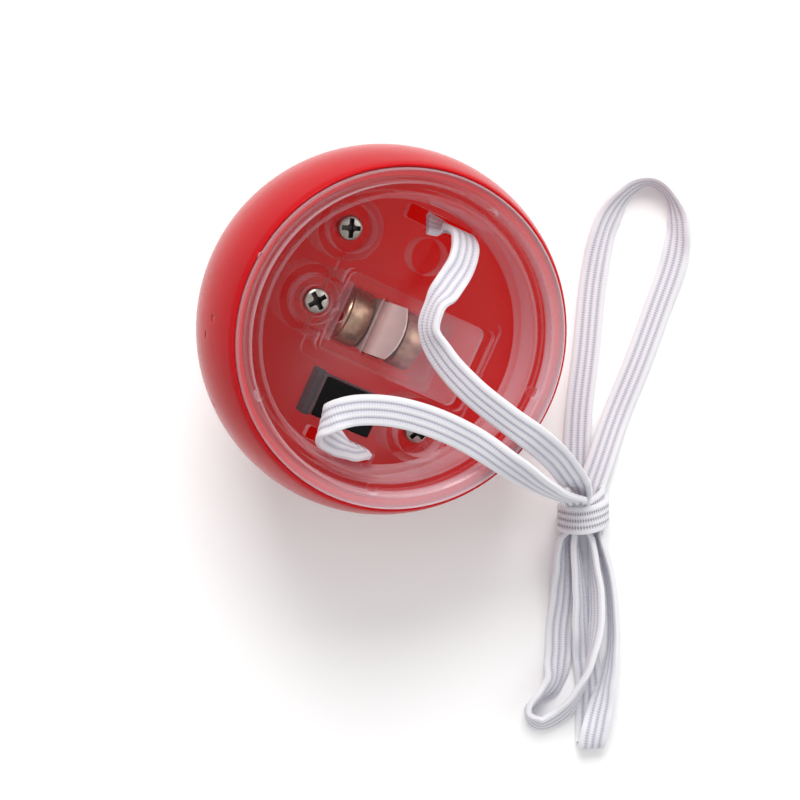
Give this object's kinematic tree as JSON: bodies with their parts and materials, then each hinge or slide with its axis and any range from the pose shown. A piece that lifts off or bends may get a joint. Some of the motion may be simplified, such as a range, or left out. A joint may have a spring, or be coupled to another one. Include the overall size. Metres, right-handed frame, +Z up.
{
  "type": "clown nose",
  "caption": "Red ball clown nose with a clear open back, battery cover, push switch and white elastic strap tied in a bundle.",
  "frame": {"origin": "the point of the ball that touches the table, centred under the ball", "axes": "+Z up from the table, +Y towards the top of the picture, +X towards its right, the side the open back leans to"},
  "size_m": [0.0704, 0.0864, 0.0432],
  "materials": {
    "red_vinyl": "gloss",
    "clear_plastic": "gloss",
    "milky_plastic": "satin",
    "steel": "satin",
    "black_plastic": "matte",
    "white_elastic": "matte"
  },
  "bodies": {
    "nose": {"nose_shell": "red_vinyl", "back_cup": "clear_plastic", "battery_cover": "clear_plastic", "button_cell_1": "steel", "button_cell_2": "steel", "button_cell_3": "steel", "pull_tab": "milky_plastic", "screw_1": "steel", "screw_2": "steel", "screw_3": "steel", "switch_body": "black_plastic", "strap_run_a": "white_elastic", "strap_run_b": "white_elastic", "strap_loop_up": "white_elastic", "strap_loop_down_1": "white_elastic", "strap_loop_down_2": "white_elastic", "strap_knot": "white_elastic"},
    "button": {"switch_button": "black_plastic"}
  },
  "joints": [
    {"name": "button_press", "type": "slide", "parent": "nose", "child": "button", "axis": [-0.3047, 0.1759, -0.9361], "range_m": [0, 0.0008], "stiffness_N_per_m": 1000}
  ]
}
